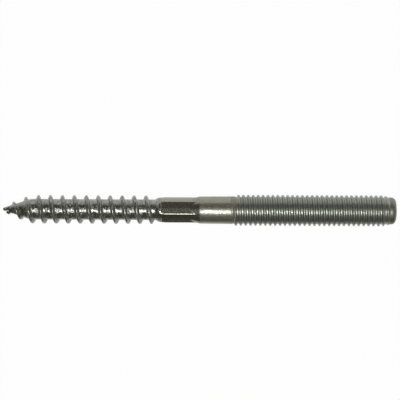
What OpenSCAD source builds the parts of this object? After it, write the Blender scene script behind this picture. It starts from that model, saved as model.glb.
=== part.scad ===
// Hanger bolt: one stainless steel bar with a wood-screw thread and gimlet point at one end,
// a machine thread at the other, and pressed spanner flats and a plain shank between them.
// The bolt lies on its side along X with its point towards -X. Z is up, and the crests of
// the machine thread touch z = 0 below the middle of the bolt's length.

/* [Overall] */
// Length from the point to the flat end
bolt_length = 100; // [80:1:160]

/* [Wood thread] */
// Diameter over the crests of the wood thread
wood_d = 7.3; // [6.8:0.05:7.8]
// Diameter of the core between the crests
wood_core_d = 5.28; // [4.6:0.02:5.4]
// Advance of the wood thread in one turn
wood_pitch = 3.04; // [2.6:0.02:3.6]
// Width of the flat top of a wood-thread crest
wood_crest_w = 0.25; // [0.15:0.01:0.5]
// Width of the foot of a wood-thread ridge, where it leaves the core
wood_foot_w = 1.4; // [1.2:0.05:1.9]
// Share of the ridge's height that its rounded flanks reach half way from foot to crest
wood_shoulder = 0.65; // [0.5:0.05:0.8]
// Length from the point to the end of the wood thread
wood_length = 38.3; // [30:0.1:60]
// Length of the tapered gimlet point
point_length = 7.8; // [6:0.1:14]
// Diameter at which the point is blunted
point_tip_d = 0.6; // [0.3:0.05:1.2]
// Fullness of the point: 1 is a straight cone, more is a rounder one
point_fullness = 1.2; // [1:0.05:2.5]
// Turn of the wood thread about the bolt, in degrees
wood_turn = 293; // [0:1:359]

/* [Neck and spanner flats] */
// Length of the tapered neck between the wood thread and the collar
neck_length = 1.45; // [0.8:0.05:3]
// Diameter of the collar in front of the flats
collar_d = 6.12; // [5.9:0.02:6.6]
// Width of the collar's land
collar_land = 0.22; // [0.15:0.01:0.8]
// Slope of the collar's step down to the flats, in degrees from the bolt's axis
collar_step_angle = 52; // [30:1:75]
// Diameter over the rounded corners of the hexagon
hex_corner_d = 6.55; // [6.2:0.05:6.9]
// Distance across the hexagon's flats
hex_af = 5.66; // [5.45:0.01:6]
// Length of the flats, from the collar to the cone of the shank
hex_length = 6.9; // [5:0.1:16]
// Length over which the corners rise from the collar to their full size
corner_taper_length = 2; // [1:0.1:4]
// Turn of the hexagon about the bolt, in degrees from a corner pointing down
hex_turn = -9; // [-30:1:30]

/* [Shank] */
// Diameter of the plain shank
shank_d = 6.95; // [6.7:0.05:7.4]
// Length of the slow cone between the flats and the shank
shank_cone_length = 3.25; // [2:0.05:5]
// Length of the plain shank
shank_length = 8; // [4:0.1:20]
// Length of the chamfer from the shank down to the roots of the machine thread
shank_chamfer_length = 0.65; // [0.4:0.05:1.2]

/* [Machine thread] */
// Diameter over the crests of the machine thread, an M8 in its usual tolerance
machine_d = 7.96; // [7.76:0.01:7.97]
// Advance of the machine thread in one turn
machine_pitch = 1.25; // [1:0.05:1.25]
// Turn of the machine thread about the bolt, in degrees
machine_turn = 108; // [0:1:359]
// Diameter of the plain rounded end
lead_d = 6.82; // [6.6:0.02:7.2]
// Length of the plain rounded end
lead_length = 1.6; // [1.2:0.1:3]
// Radius of the rounded edge of the flat end
lead_edge_r = 1.35; // [0.4:0.05:1.8]
// Length over which the last crests taper down to the plain end
lead_taper_length = 1.3; // [0.8:0.1:3]

/* [Hidden] */
$fn = 48;

// Flat steps in one turn of either thread. A flat step faces straight down, so the bolt
// rests on flats and not on edges.
thread_steps = 22;
step_angle = 360 / thread_steps;
// Part of a radius that is left at the middle of a flat step
step_share = cos(step_angle / 2);

// Stations along the bolt, measured from the point
neck_start = wood_length;
collar_start = neck_start + neck_length;
flats_start = collar_start + collar_land;
cone_start = flats_start + hex_length;
shank_start = cone_start + shank_cone_length;
shank_end = shank_start + shank_length;
lead_start = bolt_length - lead_length;

// Wood thread: a ridge on a core that tapers to the point
wood_core_r = wood_core_d / 2;
wood_ridge_h = (wood_d - wood_core_d) / 2;
point_tip_r = point_tip_d / 2;
// Power with which the ridge grows along the point: 1 is evenly, less is sooner
wood_growth = 0.25;
// Turns over which the ridge dies out at the neck
wood_runout_turns = 0.2;
wood_runout = wood_runout_turns * wood_pitch;
// Station at which the middle of the crest crosses the underside
wood_phase = wood_turn / 360 * wood_pitch;

// Machine thread: 60 degree flanks, with the basic depth of a metric thread
flank_slope = tan(30);
metric_depth_share = 0.5613;
metric_pitch_line_share = 0.284;
machine_depth = metric_depth_share * machine_pitch;
machine_root_r = machine_d / 2 - machine_depth;
machine_crest_w = machine_pitch / 2 - 2 * metric_pitch_line_share * machine_pitch * flank_slope;
machine_foot_w = machine_crest_w + 2 * machine_depth * flank_slope;
// Turns over which the ridge rises out of the shank's chamfer
machine_runin_turns = 0.9;
machine_runin = machine_runin_turns * machine_pitch;
// Station at which the middle of the crest first crosses the underside
machine_phase = shank_end + machine_turn / 360 * machine_pitch;

// How far each threaded length reaches into the solid bar beside it, and how far below
// the bar's surface it stays there
seat_depth = 1.2 * machine_pitch;
seat_cover = 0.08 * machine_pitch;

// Round waist of the bar between the flats, just inside them
waist_r = hex_af / 2 - seat_cover;
collar_step_length = (collar_d / 2 - waist_r) / tan(collar_step_angle);

// Rounded edge of the flat end, within the plain end's own length and radius
lead_round = min(lead_edge_r, 0.9 * lead_length, 0.45 * lead_d);

// Height of the bolt's axis above the surface that it lies on
axis_height = machine_d / 2 * step_share;

function clamp01(value) = min(1, max(0, value));

// Radius of the wood thread's core at a station: a rounded point, then a plain core
function wood_core_radius(z) =
    let (left = 1 - clamp01(z / point_length))
    point_tip_r + (wood_core_r - point_tip_r) * (1 - pow(left, point_fullness));

// Height of the wood thread's ridge: it grows from the tip and dies out at the neck
function wood_ridge(z) =
    let (grown = clamp01((z - point_tip_d) / (point_length - point_tip_d)))
    wood_ridge_h * pow(grown, wood_growth) * clamp01((wood_length - z) / wood_runout);

// Height of the machine thread's ridge: it rises at the shank and tapers at the rounded end
function machine_ridge(z) =
    let (taper = clamp01((lead_start - z) / lead_taper_length),
         lead_step = lead_d / 2 - seat_cover - machine_root_r,
         end_h = lead_step + (machine_depth - lead_step) * taper)
    min(machine_depth * clamp01((z - shank_end) / machine_runin), max(0, end_h));

// Strands that make one ridge, each as its offset along the bolt and its share of the height
wood_shoulder_w = (wood_foot_w + wood_crest_w) / 2;
wood_strands = [
    [-wood_foot_w / 2, 0],
    [-wood_shoulder_w / 2, wood_shoulder],
    [-wood_crest_w / 2, 1],
    [wood_crest_w / 2, 1],
    [wood_shoulder_w / 2, wood_shoulder],
    [wood_foot_w / 2, 0]];
machine_strands = [
    [-machine_foot_w / 2, 0],
    [-machine_crest_w / 2, 1],
    [machine_crest_w / 2, 1],
    [machine_foot_w / 2, 0]];

// Closed skin of a right-hand thread along Z, cut square at both ends. Its lines are the
// helices of the ridge's strands, turn after turn. radius(z, share) gives the skin's radius
// at a station, for a strand with that share of the ridge's height. The last line outside
// an end is drawn back to it, and those past that close on the middle of the end.
module thread_skin(z_low, z_high, pitch, phase, strands, radius) {
    per_turn = len(strands);
    first_turn = floor((z_low - phase) / pitch) - 2;
    last_turn = ceil((z_high - phase) / pitch) + 2;
    lines = (last_turn - first_turn) * per_turn;
    snap = pitch / 50;
    angle_at = function (step) (step + 0.5) * step_angle;
    station = function (line, step)
        phase + pitch * (first_turn + floor(line / per_turn) + angle_at(step) / 360)
        + strands[line % per_turn][0];
    before = function (line, step) station(line, step) <= z_low + snap;
    past = function (line, step) station(line, step) >= z_high - snap;
    skin_point = function (line, step)
        let (z = before(line, step) ? z_low : past(line, step) ? z_high : station(line, step),
             r = radius(z, strands[line % per_turn][1]),
             angle = angle_at(step))
        [r * cos(angle), r * sin(angle), z];
    // A line that has gone once round goes on as the same line of the next turn
    index = function (line, step)
        step == thread_steps ? index(line + per_turn, 0)
        : before(line + 1, step) ? 0
        : past(line - 1, step) ? 1
        : 2 + line * thread_steps + step;

    points = concat(
        [[0, 0, z_low], [0, 0, z_high]],
        [for (line = [0:lines - 1], step = [0:thread_steps - 1]) skin_point(line, step)]);
    triangles = [
        for (line = [0:lines - 1], step = [0:thread_steps - 1])
            let (near = index(line, step),
                 near_next = index(line, step + 1),
                 far = index(line + 1, step),
                 far_next = index(line + 1, step + 1))
            for (corners = [[near, far, near_next], [far, far_next, near_next]])
                if (corners[0] != corners[1] && corners[1] != corners[2] && corners[2] != corners[0])
                    corners];
    polyhedron(points, triangles);
}

// Gimlet point and wood thread, seated in the waist of the bar behind the neck
module wood_thread() {
    seat_r = min(wood_core_r, waist_r - seat_cover);
    thread_skin(
        z_low = 0,
        z_high = collar_start + seat_depth,
        pitch = wood_pitch,
        phase = wood_phase,
        strands = wood_strands,
        radius = function (z, share)
            min(wood_core_radius(z), z > collar_start ? seat_r : wood_core_r) + share * wood_ridge(z));
}

// Machine thread, seated in the shank and in the rounded end
module machine_thread() {
    seat_r = min(machine_root_r, shank_d / 2 - seat_cover, lead_d / 2 - seat_cover);
    thread_skin(
        z_low = shank_end - seat_depth,
        z_high = lead_start + seat_depth / 2,
        pitch = machine_pitch,
        phase = machine_phase,
        strands = machine_strands,
        radius = function (z, share)
            (z < shank_end || z > lead_start ? seat_r : machine_root_r) + share * machine_ridge(z));
}

// Round bar of the middle: neck, collar, waist, cone and chamfered shank
module middle_bar() {
    buried_r = wood_core_r * step_share - seat_cover;
    rotate_extrude()
        polygon([
            [0, neck_start],
            [buried_r, neck_start],
            [collar_d / 2, collar_start],
            [collar_d / 2, flats_start],
            [waist_r, flats_start + collar_step_length],
            [waist_r, cone_start],
            [shank_d / 2, shank_start],
            [shank_d / 2, shank_end],
            [machine_root_r * step_share - seat_cover, shank_end + shank_chamfer_length],
            [0, shank_end + shank_chamfer_length]]);
}

// Hexagon of the pressed flats. Its rounded corners taper down into the collar, and its far
// end is buried in the shank's cone.
module spanner_hexagon() {
    land_middle = flats_start - collar_land / 2;
    start_r = collar_d / 2 - seat_cover / 2;
    intersection() {
        translate([0, 0, land_middle])
            rotate(hex_turn)
                linear_extrude(height = shank_start - land_middle)
                    circle(d = hex_af / cos(30), $fn = 6);
        rotate_extrude()
            polygon([
                [0, land_middle],
                [start_r, land_middle],
                [hex_corner_d / 2, flats_start + corner_taper_length],
                [hex_corner_d / 2, shank_start],
                [0, shank_start]]);
    }
}

// Middle of the bolt with its six pressed flats
module spanner_section() {
    middle_bar();
    spanner_hexagon();
}

// Plain end of the machine thread, with a rounded edge round its flat face
module rounded_end() {
    translate([0, 0, lead_start])
        rotate_extrude()
            union() {
                square([lead_d / 2 - lead_round, lead_length]);
                square([lead_d / 2, lead_length - lead_round]);
                translate([lead_d / 2 - lead_round, lead_length - lead_round])
                    circle(lead_round);
            }
}

module hanger_bolt() {
    color([0.60, 0.60, 0.56])
        translate([-bolt_length / 2, 0, axis_height])
            rotate([0, 90, 0]) {
                wood_thread();
                spanner_section();
                machine_thread();
                rounded_end();
            }
}

hanger_bolt();
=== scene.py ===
"""Hanger bolt of stainless steel, lying on a pale studio floor.

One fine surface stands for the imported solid. It is worked out on grids of two parameters: the
station along the bolt, measured from its point, and the angle about its axis, measured from
straight down towards +Y.
"""

import math

import bpy
import numpy as np
from bpy.props import FloatProperty, FloatVectorProperty, IntProperty, PointerProperty
from mathutils import Matrix, Vector


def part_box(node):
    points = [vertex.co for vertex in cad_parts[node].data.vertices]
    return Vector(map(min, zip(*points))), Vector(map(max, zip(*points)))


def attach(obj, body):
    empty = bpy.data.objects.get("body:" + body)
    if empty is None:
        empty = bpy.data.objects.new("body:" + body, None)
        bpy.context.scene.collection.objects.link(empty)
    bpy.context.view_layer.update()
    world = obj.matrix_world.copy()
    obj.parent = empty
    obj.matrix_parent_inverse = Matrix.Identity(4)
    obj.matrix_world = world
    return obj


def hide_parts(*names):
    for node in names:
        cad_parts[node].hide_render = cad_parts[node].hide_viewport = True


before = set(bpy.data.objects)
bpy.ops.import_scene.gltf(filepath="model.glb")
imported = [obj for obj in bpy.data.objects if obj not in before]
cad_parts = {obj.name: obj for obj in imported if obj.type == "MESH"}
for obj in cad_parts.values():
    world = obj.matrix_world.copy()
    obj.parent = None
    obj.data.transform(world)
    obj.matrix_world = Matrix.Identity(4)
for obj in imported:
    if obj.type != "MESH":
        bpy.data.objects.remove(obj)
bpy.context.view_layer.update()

bl_info = {
    "name": "Hanger Bolt",
    "version": (1, 0, 0),
    "blender": (4, 5, 0),
    "location": "View3D > Sidebar > Hanger Bolt",
    "description": "Builds a hanger bolt with rolled threads and pressed spanner flats",
    "category": "Object",
}

MM = 0.001
NODE = "hanger_bolt"
BODY = "root"
NODE_LOW, NODE_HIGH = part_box(NODE)

# Points nearer than this are one point
WELD_GRAIN = 1e-5 * MM

# Scales of the finish's noises, in waves to the metre, and the depth of its relief
STAIN_SCALE = 1300.0
GRAIN_SCALE = 5000.0
STREAK_SCALE = 350.0
STREAK_STRETCH = (1.0, 12.0, 12.0)
PIT_POWER = 5.0
RELIEF_DEPTH = 0.1 * MM

SENSOR_WIDTH = 36.0


class BoltSizes(bpy.types.PropertyGroup):
    """Sizes of the bolt"""

    length: FloatProperty(
        name="Length",
        description="Length from the point to the flat end",
        default=NODE_HIGH.x - NODE_LOW.x,
        unit="LENGTH",
    )
    axis_height: FloatProperty(
        name="Axis Height",
        description="Height of the bolt's axis above the floor",
        default=(NODE_LOW.z + NODE_HIGH.z) / 2,
        unit="LENGTH",
    )
    wood_d: FloatProperty(
        name="Wood Thread Diameter",
        description="Diameter over the crests of the wood thread",
        default=7.3 * MM,
        unit="LENGTH",
    )
    wood_core_d: FloatProperty(
        name="Wood Core Diameter",
        description="Diameter of the core between the crests",
        default=5.28 * MM,
        unit="LENGTH",
    )
    wood_pitch: FloatProperty(
        name="Wood Pitch",
        description="Advance of the wood thread in one turn",
        default=3.04 * MM,
        unit="LENGTH",
    )
    wood_foot_w: FloatProperty(
        name="Wood Foot Width",
        description="Width of a wood-thread ridge where it leaves the core",
        default=1.2 * MM,
        unit="LENGTH",
    )
    wood_fullness: FloatProperty(
        name="Wood Ridge Fullness",
        description="1 is a ridge with straight flanks, more is a rounder one",
        default=2.5,
    )
    wood_turn: FloatProperty(
        name="Wood Turn",
        description="Turn of the wood thread about the bolt",
        default=math.radians(293),
        subtype="ANGLE",
    )
    wood_end: FloatProperty(
        name="Wood Thread End",
        description="Station at which the ridge of the wood thread has died out",
        default=39.9 * MM,
        unit="LENGTH",
    )
    wood_runout: FloatProperty(
        name="Wood Run-Out",
        description="Length over which the ridge of the wood thread dies out",
        default=1.9 * MM,
        unit="LENGTH",
    )
    point_length: FloatProperty(
        name="Point Length",
        description="Length of the gimlet point's straight cone",
        default=7.0 * MM,
        unit="LENGTH",
    )
    point_tip_d: FloatProperty(
        name="Tip Diameter",
        description="Diameter of the blunt tip",
        default=0.6 * MM,
        unit="LENGTH",
    )
    neck_start: FloatProperty(
        name="Neck Start",
        description="Station at which the neck starts to flare",
        default=39.0 * MM,
        unit="LENGTH",
    )
    collar_start: FloatProperty(
        name="Collar Start",
        description="Station at which the neck meets the collar",
        default=40.2 * MM,
        unit="LENGTH",
    )
    collar_d: FloatProperty(
        name="Collar Diameter",
        description="Diameter of the collar in front of the flats",
        default=6.33 * MM,
        unit="LENGTH",
    )
    hex_corner_d: FloatProperty(
        name="Corner Diameter",
        description="Diameter over the rounded corners of the hexagon",
        default=6.6 * MM,
        unit="LENGTH",
    )
    hex_af: FloatProperty(
        name="Across Flats",
        description="Distance across the hexagon's flats",
        default=5.66 * MM,
        unit="LENGTH",
    )
    hex_end: FloatProperty(
        name="Flats End",
        description="Station at which the flats start to ramp up to the shank",
        default=47.3 * MM,
        unit="LENGTH",
    )
    hex_turn: FloatProperty(
        name="Hexagon Turn",
        description="Turn of the hexagon from a corner pointing straight down",
        default=math.radians(-9),
        subtype="ANGLE",
    )
    hex_crown: FloatProperty(
        name="Flat Crown",
        description="Height by which the middle of a pressed flat stands proud of its edges",
        default=0.085 * MM,
        unit="LENGTH",
    )
    shank_start: FloatProperty(
        name="Shank Start",
        description="Station at which the plain shank starts",
        default=50.1 * MM,
        unit="LENGTH",
    )
    shank_end: FloatProperty(
        name="Shank End",
        description="Station at which the shank is chamfered down to the machine thread",
        default=57.95 * MM,
        unit="LENGTH",
    )
    shank_d: FloatProperty(
        name="Shank Diameter",
        description="Diameter of the plain shank next to the flats",
        default=6.91 * MM,
        unit="LENGTH",
    )
    shank_swell: FloatProperty(
        name="Shank Swell",
        description="How far the shank swells towards the machine thread",
        default=0.06 * MM,
        unit="LENGTH",
    )
    machine_d: FloatProperty(
        name="Machine Thread Diameter",
        description="Diameter over the crests of the machine thread",
        default=NODE_HIGH.z - NODE_LOW.z,
        unit="LENGTH",
    )
    machine_pitch: FloatProperty(
        name="Machine Pitch",
        description="Advance of the machine thread in one turn",
        default=1.25 * MM,
        unit="LENGTH",
    )
    machine_start: FloatProperty(
        name="Machine Thread Start",
        description="Station from which the turns of the machine thread are counted",
        default=58.3 * MM,
        unit="LENGTH",
    )
    machine_turn: FloatProperty(
        name="Machine Turn",
        description="Turn of the machine thread about the bolt",
        default=math.radians(56),
        subtype="ANGLE",
    )
    lead_d: FloatProperty(
        name="Plain End Diameter",
        description="Diameter of the plain rounded end",
        default=6.82 * MM,
        unit="LENGTH",
    )
    lead_edge: FloatProperty(
        name="End Edge",
        description="Width of the rounded edge of the flat end",
        default=1.35 * MM,
        unit="LENGTH",
    )
    steps: IntProperty(
        name="Steps",
        description="Grid steps round the bolt, a multiple of six so that corners fall on the grid",
        default=120,
    )


class SteelFinish(bpy.types.PropertyGroup):
    """Colours and wear of the steel"""

    wood_colour: FloatVectorProperty(
        name="Wood Thread Colour",
        description="Colour of the rolled wood thread",
        default=(0.5, 0.51, 0.457),
        subtype="COLOR",
        size=3,
    )
    hex_colour: FloatVectorProperty(
        name="Flats Colour",
        description="Colour of the pressed spanner flats",
        default=(0.285, 0.287, 0.247),
        subtype="COLOR",
        size=3,
    )
    shank_colour: FloatVectorProperty(
        name="Shank Colour",
        description="Colour of the drawn shank",
        default=(0.345, 0.347, 0.29),
        subtype="COLOR",
        size=3,
    )
    machine_colour: FloatVectorProperty(
        name="Machine Thread Colour",
        description="Colour of the rolled machine thread",
        default=(0.36, 0.38, 0.337),
        subtype="COLOR",
        size=3,
    )
    run_in_colour: FloatVectorProperty(
        name="Run-In Colour",
        description="Colour of the chamfer between the shank and the machine thread",
        default=(0.30, 0.298, 0.25),
        subtype="COLOR",
        size=3,
    )
    end_colour: FloatVectorProperty(
        name="End Colour",
        description="Colour of the plain rounded end",
        default=(0.275, 0.275, 0.23),
        subtype="COLOR",
        size=3,
    )


class StudioSetup(bpy.types.PropertyGroup):
    """Floor, light and camera"""

    floor_size: FloatProperty(
        name="Floor Size",
        description="Side of the square floor",
        default=8.0,
        unit="LENGTH",
    )
    floor_colour: FloatVectorProperty(
        name="Floor Colour",
        description="Colour of the pale floor",
        default=(0.95, 0.95, 0.95),
        subtype="COLOR",
        size=3,
    )
    floor_glow: FloatProperty(
        name="Floor Whiteness",
        description="Share of plain white that the floor shows to the eye and in the metal",
        default=0.97,
        subtype="FACTOR",
    )
    lamp_length: FloatProperty(
        name="Lamp Length",
        description="Length of the overhead softbox, along the bolt",
        default=0.17,
        unit="LENGTH",
    )
    lamp_width: FloatProperty(
        name="Lamp Width",
        description="Width of the overhead softbox, across the bolt",
        default=0.19,
        unit="LENGTH",
    )
    lamp_distance: FloatProperty(
        name="Lamp Distance",
        description="Distance of the softbox from the bolt",
        default=0.6,
        unit="LENGTH",
    )
    lamp_lean: FloatProperty(
        name="Lamp Lean",
        description="Angle of the softbox from straight overhead, towards +Y",
        default=math.radians(14),
        subtype="ANGLE",
    )
    lamp_power: FloatProperty(
        name="Lamp Power",
        description="Power of the softbox",
        default=1.75,
        unit="POWER",
    )
    card_side: FloatProperty(
        name="Side Card",
        description="Side of the square lit card beside the flat end",
        default=0.4,
        unit="LENGTH",
    )
    card_distance: FloatProperty(
        name="Card Distance",
        description="Distance of the lit card from the bolt",
        default=0.6,
        unit="LENGTH",
    )
    card_rise: FloatProperty(
        name="Card Rise",
        description="Angle of the lit card above the floor",
        default=math.radians(28),
        subtype="ANGLE",
    )
    card_power: FloatProperty(
        name="Card Power",
        description="Power of the lit card",
        default=0.18,
        unit="POWER",
    )
    room_colour: FloatVectorProperty(
        name="Room Colour",
        description="Colour of the dim room round the floor",
        default=(0.12, 0.118, 0.095),
        subtype="COLOR",
        size=3,
    )
    lens: FloatProperty(
        name="Lens",
        description="Focal length in millimetres on a sensor 36 mm wide",
        default=135.0,
    )
    view_width: FloatProperty(
        name="View Width",
        description="Width of the view at the bolt",
        default=101.83 * MM,
        unit="LENGTH",
    )
    view_lean: FloatProperty(
        name="View Lean",
        description="Angle of the view from straight overhead, towards +Y",
        default=math.radians(29),
        subtype="ANGLE",
    )
    view_roll: FloatProperty(
        name="View Roll",
        description="Turn of the camera about its own line of sight",
        default=math.radians(0.29),
        subtype="ANGLE",
    )
    view_right: FloatProperty(
        name="View Right",
        description="How far the view's middle is to the right of the bolt's middle",
        default=0.18 * MM,
        unit="LENGTH",
    )
    view_up: FloatProperty(
        name="View Up",
        description="How far the view's middle is above the bolt's middle in the picture",
        default=2.55 * MM,
        unit="LENGTH",
    )


def share_along(station, start, length):
    """Straight ramp: 0 before start, 1 from start + length on, in proportion between them."""
    return np.clip((station - start) / length, 0.0, 1.0)


def eased_along(station, start, length):
    """The straight ramp with level ends: three times its square less twice its cube."""
    share = share_along(station, start, length)
    return share * share * (3.0 - 2.0 * share)


def soft_max(first, second, blend):
    """The larger of two values, rounded where they meet: blend times the log of the summed
    exponentials of each value over blend."""
    return blend * np.logaddexp(first / blend, second / blend)


def soft_min(first, second, blend):
    """The smaller of two values, rounded where they meet."""
    return -soft_max(-first, -second, blend)


class BoltForm:
    """The bolt's surface as a radius over station and angle.

    A blend is the rounding where two forms meet. A share is a part of the machine thread's pitch.
    A pair of lengths is where a ramp starts and how long it is, or a bell's middle and width."""

    NOSE_END = 0.55 * MM
    POINT_BLEND = 0.12 * MM
    RIDGE_BLEND = 0.02
    WOOD_GROWTH = 0.25
    WOOD_GROWN_PAST_POINT = 0.5 * MM
    WOOD_NARROWEST = 0.75
    WOOD_LEAN = 0.35 * MM
    POCKET = (0.45 * MM, 0.25 * MM)
    POCKET_FADE = 1.0 * MM
    POINT_DRIFT = 0.2 * MM
    POINT_DRIFT_TURN = math.radians(61)
    POINT_DRIFT_FADE = 2.0 * MM
    MACHINE_BLEND = 0.03
    MACHINE_DEPTH_SHARE = 0.42
    MACHINE_CREST_SHARE = 0.27
    MACHINE_FOOT_SHARE = 0.72
    ROOT_RUNIN = (0.25 * MM, 0.5 * MM)
    CREST_RUNIN = (0.75 * MM, 0.6 * MM)
    LEAD_START = 98.9 * MM
    CREST_TAPER = 2.4 * MM
    ROOT_TAPER = 1.3 * MM
    COLLAR_GROWTH = 1.9 * MM
    CORNER_BLEND = 0.026 * MM
    CONE_BLEND = 0.008 * MM
    CREASE_ROUND = 0.06
    FRONT_CONE = math.tan(math.radians(40))

    # Rows on a rounded end, rings of the flat face by their share of its radius, and the distance
    # of the rows that stand close before and after an edge
    ROUND_ROWS = 11
    FACE_RINGS = (0.75, 0.5, 0.25, 0.0)
    ROW_BEFORE_EDGE = 0.1 * MM
    ROW_AFTER_EDGE = 0.15 * MM

    def __init__(self, sizes):
        self.sizes = sizes
        self.tip_r = sizes.point_tip_d / 2
        self.core_r = sizes.wood_core_d / 2
        self.wood_h = (sizes.wood_d - sizes.wood_core_d) / 2
        self.collar_r = sizes.collar_d / 2
        self.corner_r = sizes.hex_corner_d / 2
        self.shank_r = sizes.shank_d / 2
        self.shank_end_r = self.shank_r + sizes.shank_swell
        self.crest_r = sizes.machine_d / 2
        self.root_r = self.crest_r - self.MACHINE_DEPTH_SHARE * sizes.machine_pitch
        self.lead_r = sizes.lead_d / 2
        self.flat_start = sizes.collar_start + (self.collar_r - sizes.hex_af / 2) / self.FRONT_CONE

    def core(self, station):
        """Core of the point and wood thread: a quarter circle for the blunt tip, on it a straight
        cone, and a soft bend where the cone meets the plain core."""
        nose = share_along(station, 0.0, self.tip_r)
        blunt = self.tip_r * np.sqrt(1.0 - (1.0 - nose) ** 2)
        cone = (self.core_r - self.tip_r) * station / self.sizes.point_length
        return soft_min(blunt + cone, self.core_r, self.POINT_BLEND)

    def bar(self, station):
        """Round bar without ridges, grooves or flats: the core, and on it one ramp for each change
        of radius at the collar, shank and plain end. The neck rises steeply and is level where it
        meets the collar: one less the square of the share that is left."""
        sizes = self.sizes
        neck = 1.0 - share_along(station, sizes.neck_start, sizes.collar_start - sizes.neck_start)
        growth = share_along(station, self.flat_start, self.COLLAR_GROWTH)
        swell = share_along(station, sizes.shank_start, sizes.shank_end - sizes.shank_start)
        return (
            self.core(station)
            + (self.collar_r - self.core_r) * (1.0 - neck * neck)
            + (self.shank_r - self.collar_r) * growth
            + sizes.shank_swell * swell
            + (self.lead_r - self.shank_end_r) * self.lead(station)
        )

    def lead(self, station):
        """Share of the way from the machine thread's roots to the plain end."""
        return eased_along(station, self.LEAD_START - self.ROOT_TAPER, self.ROOT_TAPER)

    def ramp_after(self, station, start_and_length):
        """Straight ramp that starts at a distance behind the end of the shank."""
        start, length = start_and_length
        return share_along(station, self.sizes.shank_end + start, length)

    def crest_envelope(self, station, crest):
        """Radius of the machine thread's crests: as the shank at first, then full by the crest's
        own station, then tapered down to the plain end."""
        shank_r = self.shank_end_r
        rise = self.ramp_after(crest, self.CREST_RUNIN)
        taper = share_along(station, self.LEAD_START - self.CREST_TAPER, self.CREST_TAPER)
        return shank_r + (self.crest_r - shank_r) * rise + (self.lead_r - self.crest_r) * taper

    def flats(self, station, angle):
        """Six flats between two cones. A flat is its distance from the axis over the cosine of
        the angle from its middle, with a low crown creased along the middle and rounded corners.
        The flats run out where a steep cone falls from the collar and a slow one rises to the
        shank: the largest of the three."""
        sizes = self.sizes
        sixth = math.pi / 3
        turned = angle - sizes.hex_turn - sixth / 2
        from_middle = turned - sixth * np.round(turned / sixth)
        crease = np.sqrt((from_middle / (sixth / 2)) ** 2 + self.CREASE_ROUND ** 2)
        flat_r = sizes.hex_af / 2
        hexagon = (flat_r + sizes.hex_crown * (1.0 - crease)) / np.cos(from_middle)
        hexagon = soft_min(hexagon, self.corner_r, self.CORNER_BLEND)
        slope = (self.shank_r - flat_r) / (sizes.shank_start - sizes.hex_end)
        cones = flat_r + np.maximum(
            (self.flat_start - station) * self.FRONT_CONE, (station - sizes.hex_end) * slope
        )
        return soft_max(hexagon, cones, self.CONE_BLEND)

    @staticmethod
    def from_crest(station, angle, start, pitch, turn):
        """Distance along the bolt from the nearest crest, which is at start plus whole pitches
        plus the pitch's share of the angle."""
        turns = (station - start) / pitch - (angle + turn) / math.tau
        return pitch * (turns - np.round(turns))

    def wood_ridge(self, station, angle):
        """Wood thread's ridge: one less a power of the distance from the crest over half the
        foot, rounded where it leaves the core. Its height grows with a power of the share of the
        point that is passed. On the tapered point it leans towards the tip and wavers to and fro
        once in a turn, and it dies out at the neck."""
        sizes = self.sizes
        grown = share_along(station, sizes.point_tip_d, sizes.point_length + self.WOOD_GROWN_PAST_POINT)
        left = 1.0 - share_along(station, sizes.wood_end - sizes.wood_runout, sizes.wood_runout)
        height = self.wood_h * grown ** self.WOOD_GROWTH * left * left
        width = self.WOOD_NARROWEST + (1.0 - self.WOOD_NARROWEST) * grown
        half_foot = width * sizes.wood_foot_w / 2
        offset = self.from_crest(station, angle, 0.0, sizes.wood_pitch, sizes.wood_turn)
        fade = self.POINT_DRIFT_FADE
        drift = self.POINT_DRIFT * (1.0 - share_along(station, sizes.point_length - fade / 2, fade))
        offset = offset + drift * (1.0 + 2.0 * np.cos(angle - self.POINT_DRIFT_TURN)) / 3.0
        lean = self.WOOD_LEAN * (1.0 - grown)
        offset = np.abs(offset + lean * np.clip(1.0 - np.abs(offset) / half_foot, 0.0, 1.0))
        share = soft_max(1.0 - (offset / half_foot) ** sizes.wood_fullness, 0.0, self.RIDGE_BLEND)
        return height * share

    def machine_ridge(self, station, angle):
        """Machine thread's ridge above the bar, and its height above the groove. A groove is cut
        below the bar by a depth that its own station sets, and the ridge rises from it to the
        crests' own radius, with straight flanks rounded at crest and root."""
        sizes = self.sizes
        pitch = sizes.machine_pitch
        offset = self.from_crest(station, angle, sizes.machine_start, pitch, sizes.machine_turn)
        half_foot = self.MACHINE_FOOT_SHARE * pitch / 2
        half_crest = self.MACHINE_CREST_SHARE * pitch / 2
        flank = (half_foot - np.abs(offset)) / (half_foot - half_crest)
        share = soft_min(soft_max(flank, 0.0, self.MACHINE_BLEND), 1.0, self.MACHINE_BLEND)
        groove = station - self.from_crest(
            station, angle, sizes.machine_start + pitch / 2, pitch, sizes.machine_turn
        )
        cut = self.ramp_after(groove, self.ROOT_RUNIN) * (1.0 - self.lead(station))
        depth = (self.shank_end_r - self.root_r) * cut
        crest_r = self.crest_envelope(station, station - offset)
        height = np.maximum(crest_r - self.bar(station) + depth, 0.0) * share
        threaded = station > sizes.shank_end
        return np.where(threaded, height - depth, 0.0), np.where(threaded, height, 0.0)

    def radius(self, station, angle):
        """The bar, cut by the flats, with the two ridges standing on it."""
        body = soft_min(self.bar(station), self.flats(station, angle), self.CONE_BLEND)
        return body + self.wood_ridge(station, angle) + self.machine_ridge(station, angle)[0]

    def pocket(self, station, angle):
        """How far a place lies in the pockets on the wood thread's flanks, by a bell over the
        distance from its crest, or up the machine thread's flanks, by the height above its roots. On
        the wood thread the mask also carries painted light on the flanks."""
        sizes = self.sizes
        middle, width = self.POCKET
        offset = np.abs(self.from_crest(station, angle, 0.0, sizes.wood_pitch, sizes.wood_turn))
        past_point = share_along(station, 0.0, sizes.point_length)
        past_neck = share_along(station, sizes.neck_start, self.POCKET_FADE)
        wood = np.exp(-(((offset - middle) / width) ** 2)) * (past_point - past_neck)
        height = self.machine_ridge(station, angle)[1]
        return wood + height / (self.crest_r - self.root_r)


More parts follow.
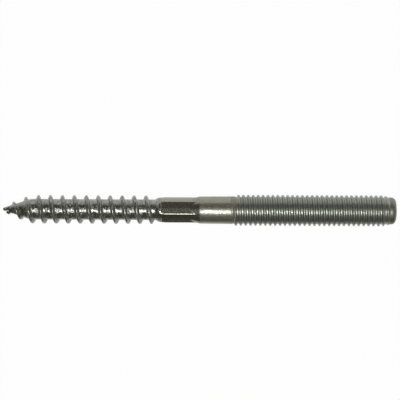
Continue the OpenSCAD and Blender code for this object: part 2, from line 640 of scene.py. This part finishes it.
# Rows of the wood thread's grid, by their distance from a crest: close together on the ridge
WOOD_OFFSETS = MM * np.array(
    [-1.2, -0.85, -0.72, -0.65, -0.6, -0.54, -0.44, -0.33, -0.22, -0.11, 0.0,
     0.11, 0.22, 0.33, 0.44, 0.54, 0.6, 0.65, 0.72, 0.85, 1.2, 1.52]
)
# Rows of the machine thread's grid, by their share of a pitch from a crest. The rows just inside
# the edges of crest and root keep them flat under smooth shading.
MACHINE_OFFSETS = np.array(
    [-0.42, -0.38, -0.34, -0.17, -0.12, -0.035, 0.035, 0.12, 0.17, 0.34, 0.38, 0.42]
)


def straight_rows(stations, angles):
    """Rings square to the bolt: one station for each row, the same at every angle."""
    return np.repeat(np.asarray(stations)[:, None], len(angles), axis=1)


def helical_rows(low, high, start, pitch, turn, offsets, angles):
    """Rows that run with a thread: start plus whole pitches plus an offset plus the pitch's
    share of the angle, held between the rings at low and high."""
    turns = np.arange(math.floor((low - start) / pitch) - 2, math.ceil((high - start) / pitch) + 2)
    rows = (start + pitch * turns[:, None] + offsets[None, :]).ravel()
    stations = rows[:, None] + pitch * (turn + angles[None, :]) / math.tau
    return np.clip(stations, low, high)


def spaced(*stations_and_counts):
    """Stations in even steps between the given ones: station, count, station, count, station."""
    stations = stations_and_counts[0::2]
    counts = stations_and_counts[1::2]
    runs = [
        np.linspace(low, high, count, endpoint=False)
        for low, high, count in zip(stations, stations[1:], counts)
    ]
    return np.concatenate(runs + [[stations[-1]]])


def bolt_grids(form, angles):
    """Stations, radii and pockets of the five grids that cover the bolt from its tip to
    the middle of its flat end. Neighbouring grids share a ring."""
    sizes = form.sizes
    quarter = np.linspace(0.0, math.pi / 2, form.ROUND_ROWS)
    nose = straight_rows(form.NOSE_END * (1.0 - np.cos(quarter)), angles)
    wood = helical_rows(
        form.NOSE_END, sizes.collar_start, 0.0, sizes.wood_pitch, sizes.wood_turn, WOOD_OFFSETS, angles
    )
    flat_start, hex_end = form.flat_start, sizes.hex_end
    before, after = form.ROW_BEFORE_EDGE, form.ROW_AFTER_EDGE
    middle = straight_rows(
        spaced(
            sizes.collar_start, 3, flat_start - before, 6, flat_start + after, 8,
            flat_start + form.COLLAR_GROWTH, 6, hex_end - before, 16,
            sizes.shank_start + before, 5, sizes.shank_end - after, 3, sizes.shank_end,
        ),
        angles,
    )
    machine = helical_rows(
        sizes.shank_end, form.LEAD_START, sizes.machine_start, sizes.machine_pitch, sizes.machine_turn,
        MACHINE_OFFSETS * sizes.machine_pitch, angles,
    )
    grids = [(rows, form.radius(rows, angles), form.pocket(rows, angles))
             for rows in (nose, wood, middle, machine)]

    # Plain end: an elliptic quarter from the lead's side to the flat face, then the face itself
    edge_length = sizes.length - form.LEAD_START
    face_r = form.lead_r - sizes.lead_edge
    face_radii = face_r * np.array(form.FACE_RINGS)
    face_stations = np.full(len(face_radii), sizes.length)
    end_stations = np.concatenate([form.LEAD_START + edge_length * np.sin(quarter), face_stations])
    end_radii = np.concatenate([face_r + sizes.lead_edge * np.cos(quarter), face_radii])
    end_rows = straight_rows(end_stations, angles)
    grids.append((end_rows, straight_rows(end_radii, angles), np.zeros_like(end_rows)))
    return grids


def grid_triangles(rows, columns, first):
    """Two triangles for each cell of a grid, turned so that they face away from the axis."""
    corner = first + np.arange(rows - 1)[:, None] * columns + np.arange(columns - 1)[None, :]
    across, along = corner + 1, corner + columns
    both = along + 1
    return np.concatenate(
        [
            np.stack([corner, across, both], axis=-1).reshape(-1, 3),
            np.stack([corner, both, along], axis=-1).reshape(-1, 3),
        ]
    )


def bolt_surface(sizes):
    """Points, triangles and pockets of the closed bolt.

    A point is at the station along X, and at the radius from the axis: its sine along Y and its
    cosine downwards along Z. Points that fall together are made one, which closes the seam, the
    two poles and the rings between the grids, and triangles that have lost a side are dropped."""
    form = BoltForm(sizes)
    angles = sizes.hex_turn + np.linspace(0.0, math.tau, sizes.steps + 1)
    grids = bolt_grids(form, angles)
    points, triangles, pockets = [], [], []
    first = 0
    for stations, radii, pocket in grids:
        across = radii * np.sin(angles)
        height = sizes.axis_height - radii * np.cos(angles)
        points.append(np.stack([stations - sizes.length / 2, across, height], axis=-1).reshape(-1, 3))
        triangles.append(grid_triangles(*stations.shape, first))
        pockets.append(pocket.ravel())
        first += stations.size
    points = np.concatenate(points)
    _, kept, merged = np.unique(
        np.round(points / WELD_GRAIN).astype(np.int64), axis=0, return_index=True, return_inverse=True
    )
    triangles = merged.reshape(-1)[np.concatenate(triangles)]
    whole = (
        (triangles[:, 0] != triangles[:, 1])
        & (triangles[:, 1] != triangles[:, 2])
        & (triangles[:, 2] != triangles[:, 0])
    )
    triangles = triangles[whole]
    sides = np.sort(triangles[:, [0, 1, 1, 2, 2, 0]].reshape(-1, 2), axis=1)
    _, uses = np.unique(sides, axis=0, return_counts=True)
    if np.any(uses != 2):
        raise RuntimeError(f"the bolt's surface is open at {np.count_nonzero(uses != 2)} edges")
    return points[kept], triangles, np.concatenate(pockets)[kept]


def surface_mesh(name, points, triangles):
    """Smooth mesh of the points and triangles."""
    mesh = bpy.data.meshes.new(name)
    mesh.vertices.add(len(points))
    mesh.vertices.foreach_set("co", points.astype(np.float32).ravel())
    mesh.loops.add(triangles.size)
    mesh.loops.foreach_set("vertex_index", triangles.astype(np.int32).ravel())
    mesh.polygons.add(len(triangles))
    mesh.polygons.foreach_set("loop_start", np.arange(0, triangles.size, 3, dtype=np.int32))
    mesh.polygons.foreach_set("use_smooth", np.ones(len(triangles), dtype=bool))
    mesh.update(calc_edges=True)
    if mesh.validate():
        raise RuntimeError(f"the surface of {name} isn't a clean mesh")
    return mesh


def add_node(tree, kind, settings=None, **inputs):
    """Node of a kind with its settings, and inputs given as a value or as a socket to link."""
    node = tree.nodes.new(kind)
    for key, value in (settings or {}).items():
        setattr(node, key, value)
    for key, value in inputs.items():
        socket = node.inputs[key.replace("_", " ")]
        if isinstance(value, bpy.types.NodeSocket):
            tree.links.new(value, socket)
        else:
            socket.default_value = value
    return node


def math_node(tree, operation, first, second):
    """Result of a sum on two values or sockets."""
    node = tree.nodes.new("ShaderNodeMath")
    node.operation = operation
    for socket, value in zip(node.inputs, (first, second)):
        if isinstance(value, bpy.types.NodeSocket):
            tree.links.new(value, socket)
        else:
            socket.default_value = value
    return node.outputs[0]


def noise_value(tree, place, scale, detail=2.0, roughness=0.6):
    """Value of a soft noise, about one half in the middle."""
    noise = add_node(
        tree, "ShaderNodeTexNoise", Vector=place, Scale=scale, Detail=detail, Roughness=roughness
    )
    return noise.outputs["Fac"]


def rolled_steel_group():
    """Node group for the finish of rolled and drawn steel.

    Fine pits, gathered into rough places by a power of their noise, and drawn streaks give the
    height. A soft stain darkens the tint and a fine grain spreads the roughness. Where the pocket
    mask is high, the steel is rougher, and its tint is lifted: painted light that stands in for
    light bounced between the flanks and the core."""
    tree = bpy.data.node_groups.new("rolled_steel_finish", "ShaderNodeTree")
    face = tree.interface
    face.new_socket("Tint", in_out="INPUT", socket_type="NodeSocketColor")
    for name in ("Pocket", "Pocket Lift", "Pocket Blur", "Stain", "Roughness", "Spread",
                 "Pits", "Pit Scale", "Streaks"):
        face.new_socket(name, in_out="INPUT", socket_type="NodeSocketFloat")
    face.new_socket("Colour", in_out="OUTPUT", socket_type="NodeSocketColor")
    face.new_socket("Roughness", in_out="OUTPUT", socket_type="NodeSocketFloat")
    face.new_socket("Height", in_out="OUTPUT", socket_type="NodeSocketFloat")
    given = tree.nodes.new("NodeGroupInput").outputs
    place = tree.nodes.new("ShaderNodeTexCoord").outputs["Object"]

    pits = math_node(tree, "POWER", noise_value(tree, place, given["Pit Scale"]), PIT_POWER)
    drawn = add_node(tree, "ShaderNodeMapping", Vector=place, Scale=STREAK_STRETCH)
    streaks = noise_value(tree, drawn.outputs["Vector"], STREAK_SCALE)
    stain = noise_value(tree, place, STAIN_SCALE, detail=3.0)
    grain = noise_value(tree, place, GRAIN_SCALE, detail=1.0, roughness=0.5)

    darkening = math_node(tree, "MULTIPLY", stain, given["Stain"])
    # Painted light: the tint is lifted in the pockets, where light bounced between flank and core would
    # brighten the steel
    painted_light = math_node(tree, "MULTIPLY", given["Pocket"], given["Pocket Lift"])
    share = math_node(tree, "ADD", math_node(tree, "SUBTRACT", 1.0, darkening), painted_light)
    colour = add_node(
        tree, "ShaderNodeVectorMath", {"operation": "SCALE"}, Vector=given["Tint"], Scale=share
    )

    off_middle = math_node(tree, "SUBTRACT", grain, 0.5)
    spread = math_node(tree, "MULTIPLY", off_middle, given["Spread"])
    blur = math_node(tree, "MULTIPLY", given["Pocket"], given["Pocket Blur"])
    roughness = math_node(tree, "ADD", given["Roughness"], math_node(tree, "ADD", spread, blur))
    height = math_node(
        tree,
        "ADD",
        math_node(tree, "MULTIPLY", pits, given["Pits"]),
        math_node(tree, "MULTIPLY", streaks, given["Streaks"]),
    )
    add_node(
        tree, "NodeGroupOutput",
        Colour=colour.outputs["Vector"], Roughness=roughness, Height=height,
    )
    return tree


def steel_material(name, group, tint, metallic, pocket_dull=0.0, **finish):
    """Metal with the group's colour, roughness and height, at one length's own values. Pockets
    that are dull are less of a metal."""
    material = bpy.data.materials.new(name)
    material.use_nodes = True
    tree = material.node_tree
    shader = tree.nodes["Principled BSDF"]
    pocket = add_node(tree, "ShaderNodeAttribute", {"attribute_name": "pocket"})
    steel = add_node(
        tree, "ShaderNodeGroup", {"node_tree": group},
        Tint=(*tint, 1.0), Pocket=pocket.outputs["Fac"], **finish,
    )
    bump = add_node(
        tree, "ShaderNodeBump", Strength=1.0, Distance=RELIEF_DEPTH, Height=steel.outputs["Height"]
    )
    tree.links.new(steel.outputs["Colour"], shader.inputs["Base Color"])
    shader.inputs["Metallic"].default_value = metallic
    if pocket_dull:
        dulling = math_node(tree, "MULTIPLY", pocket.outputs["Fac"], pocket_dull)
        tree.links.new(math_node(tree, "SUBTRACT", metallic, dulling), shader.inputs["Metallic"])
    tree.links.new(steel.outputs["Roughness"], shader.inputs["Roughness"])
    tree.links.new(bump.outputs["Normal"], shader.inputs["Normal"])
    return material


class HANGERBOLT_OT_make_bolt(bpy.types.Operator):
    """Build the bolt's fine surface, with its own finish on each length"""

    bl_idname = "hanger_bolt.make_bolt"
    bl_label = "Make Bolt"

    def execute(self, context):
        sizes = context.scene.bolt_sizes
        finish = context.scene.steel_finish
        points, triangles, pockets = bolt_surface(sizes)
        mesh = surface_mesh("bolt", points, triangles)
        mask = mesh.attributes.new("pocket", "FLOAT", "POINT")
        mask.data.foreach_set("value", pockets.astype(np.float32))

        group = rolled_steel_group()
        materials = (
            # The wood thread's pocket lift is painted light on its flanks
            steel_material("rolled_wood_thread", group, finish.wood_colour, metallic=0.95,
                           pocket_dull=0.16, Pocket_Lift=0.2, Pocket_Blur=0.3, Stain=0.95,
                           Roughness=0.17, Spread=0.6, Pits=3.3, Pit_Scale=2500.0),
            steel_material("pressed_flats", group, finish.hex_colour, metallic=1.0, Stain=0.2,
                           Roughness=0.27, Spread=0.6, Pits=0.08, Pit_Scale=1300.0, Streaks=0.035),
            steel_material("drawn_shank", group, finish.shank_colour, metallic=0.9, Stain=0.1,
                           Roughness=0.39, Spread=1.3, Pits=0.08, Pit_Scale=1300.0, Streaks=0.03),
            steel_material("dull_run_in", group, finish.run_in_colour, metallic=0.85, Stain=0.1,
                           Roughness=0.5, Spread=0.6, Pits=0.4, Pit_Scale=1600.0),
            steel_material("rolled_machine_thread", group, finish.machine_colour, metallic=0.94,
                           Pocket_Blur=0.02, Stain=0.2, Roughness=0.39, Spread=0.7, Pits=0.2,
                           Pit_Scale=1600.0),
            steel_material("cut_end", group, finish.end_colour, metallic=0.95, Stain=0.2,
                           Roughness=0.48, Spread=0.8, Pits=0.6, Pit_Scale=2000.0),
        )
        for material in materials:
            mesh.materials.append(material)
        stations = points[triangles, 0].mean(axis=1) + sizes.length / 2
        end_start = BoltForm.LEAD_START - BoltForm.ROOT_TAPER / 2
        run_in_end = sizes.shank_end + sum(BoltForm.CREST_RUNIN)
        bounds = (sizes.collar_start, sizes.shank_start, sizes.shank_end, run_in_end, end_start)
        mesh.polygons.foreach_set("material_index", np.searchsorted(bounds, stations).astype(np.int32))

        bolt = bpy.data.objects.new("bolt", mesh)
        context.collection.objects.link(bolt)
        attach(bolt, BODY)
        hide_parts(NODE)
        return {"FINISHED"}


def floor_material(setup):
    """Pale floor that takes the bolt's shadow, and is white to the eye and in the metal."""
    material = bpy.data.materials.new("pale_floor")
    material.use_nodes = True
    tree = material.node_tree
    tree.nodes.clear()
    matt = add_node(tree, "ShaderNodeBsdfDiffuse", Color=(*setup.floor_colour, 1.0))
    white = add_node(tree, "ShaderNodeEmission", Color=(1.0, 1.0, 1.0, 1.0), Strength=1.0)
    path = tree.nodes.new("ShaderNodeLightPath").outputs
    seen = math_node(tree, "MAXIMUM", path["Is Camera Ray"], path["Is Glossy Ray"])
    seen = math_node(tree, "MAXIMUM", seen, path["Is Transmission Ray"])
    mix = tree.nodes.new("ShaderNodeMixShader")
    tree.links.new(math_node(tree, "MULTIPLY", seen, setup.floor_glow), mix.inputs[0])
    tree.links.new(matt.outputs[0], mix.inputs[1])
    tree.links.new(white.outputs[0], mix.inputs[2])
    add_node(tree, "ShaderNodeOutputMaterial", Surface=mix.outputs[0])
    return material


class HANGERBOLT_OT_set_stage(bpy.types.Operator):
    """Lay the floor, hang the softbox, stand the card and place the camera"""

    bl_idname = "hanger_bolt.set_stage"
    bl_label = "Set Stage"

    def execute(self, context):
        scene = context.scene
        sizes = scene.bolt_sizes
        setup = scene.studio_setup
        middle = Vector((0.0, 0.0, sizes.axis_height))

        half = setup.floor_size / 2
        ground = min(0.0, sizes.axis_height - sizes.machine_d / 2)
        mesh = bpy.data.meshes.new("floor")
        mesh.from_pydata(
            [(-half, -half, ground), (half, -half, ground), (half, half, ground), (-half, half, ground)],
            [],
            [(0, 1, 2, 3)],
        )
        mesh.materials.append(floor_material(setup))
        floor = bpy.data.objects.new("floor", mesh)
        context.collection.objects.link(floor)

        overhead = Matrix.Rotation(-setup.lamp_lean, 4, "X")
        beside = Matrix.Rotation(math.pi / 2 - setup.card_rise, 4, "Y")
        lamp_size = (setup.lamp_length, setup.lamp_width)
        card_size = (setup.card_side, setup.card_side)
        for name, size, turn, distance, power in (
            ("softbox", lamp_size, overhead, setup.lamp_distance, setup.lamp_power),
            ("side_card", card_size, beside, setup.card_distance, setup.card_power),
        ):
            light = bpy.data.lights.new(name, "AREA")
            light.shape = "RECTANGLE"
            light.size, light.size_y = size
            light.energy = power
            lamp = bpy.data.objects.new(name, light)
            lamp.matrix_world = Matrix.Translation(middle) @ turn @ Matrix.Translation((0, 0, distance))
            context.collection.objects.link(lamp)

        world = bpy.data.worlds.new("dim_room")
        world.use_nodes = True
        background = world.node_tree.nodes["Background"]
        background.inputs["Color"].default_value = (*setup.room_colour, 1.0)
        scene.world = world

        camera_data = bpy.data.cameras.new("camera")
        camera_data.lens = setup.lens
        camera_data.sensor_width = SENSOR_WIDTH
        distance = setup.view_width * setup.lens / SENSOR_WIDTH
        turn = Matrix.Rotation(-setup.view_lean, 4, "X") @ Matrix.Rotation(setup.view_roll, 4, "Z")
        back = Matrix.Translation((setup.view_right, setup.view_up, distance))
        camera = bpy.data.objects.new("camera", camera_data)
        camera.matrix_world = Matrix.Translation(middle) @ turn @ back
        context.collection.objects.link(camera)
        scene.camera = camera
        scene.view_settings.view_transform = "Standard"
        return {"FINISHED"}


class HANGERBOLT_PT_sidebar(bpy.types.Panel):
    """Panel for the bolt and its stage"""

    bl_idname = "HANGERBOLT_PT_sidebar"
    bl_label = "Hanger Bolt"
    bl_space_type = "VIEW_3D"
    bl_region_type = "UI"
    bl_category = "Hanger Bolt"

    def draw(self, context):
        scene = context.scene
        layout = self.layout
        layout.operator(HANGERBOLT_OT_make_bolt.bl_idname)
        layout.operator(HANGERBOLT_OT_set_stage.bl_idname)
        for group in (scene.bolt_sizes, scene.steel_finish, scene.studio_setup):
            column = layout.column(align=True)
            for name in group.bl_rna.properties.keys():
                if name not in ("rna_type", "name"):
                    column.prop(group, name)


CLASSES = (
    BoltSizes,
    SteelFinish,
    StudioSetup,
    HANGERBOLT_OT_make_bolt,
    HANGERBOLT_OT_set_stage,
    HANGERBOLT_PT_sidebar,
)


def register():
    for cls in CLASSES:
        bpy.utils.register_class(cls)
    bpy.types.Scene.bolt_sizes = PointerProperty(type=BoltSizes)
    bpy.types.Scene.steel_finish = PointerProperty(type=SteelFinish)
    bpy.types.Scene.studio_setup = PointerProperty(type=StudioSetup)


def unregister():
    del bpy.types.Scene.studio_setup
    del bpy.types.Scene.steel_finish
    del bpy.types.Scene.bolt_sizes
    for cls in reversed(CLASSES):
        bpy.utils.unregister_class(cls)


def main():
    register()
    bpy.ops.hanger_bolt.set_stage()
    bpy.ops.hanger_bolt.make_bolt()
    bpy.context.view_layer.update()


if __name__ == "__main__":
    main()
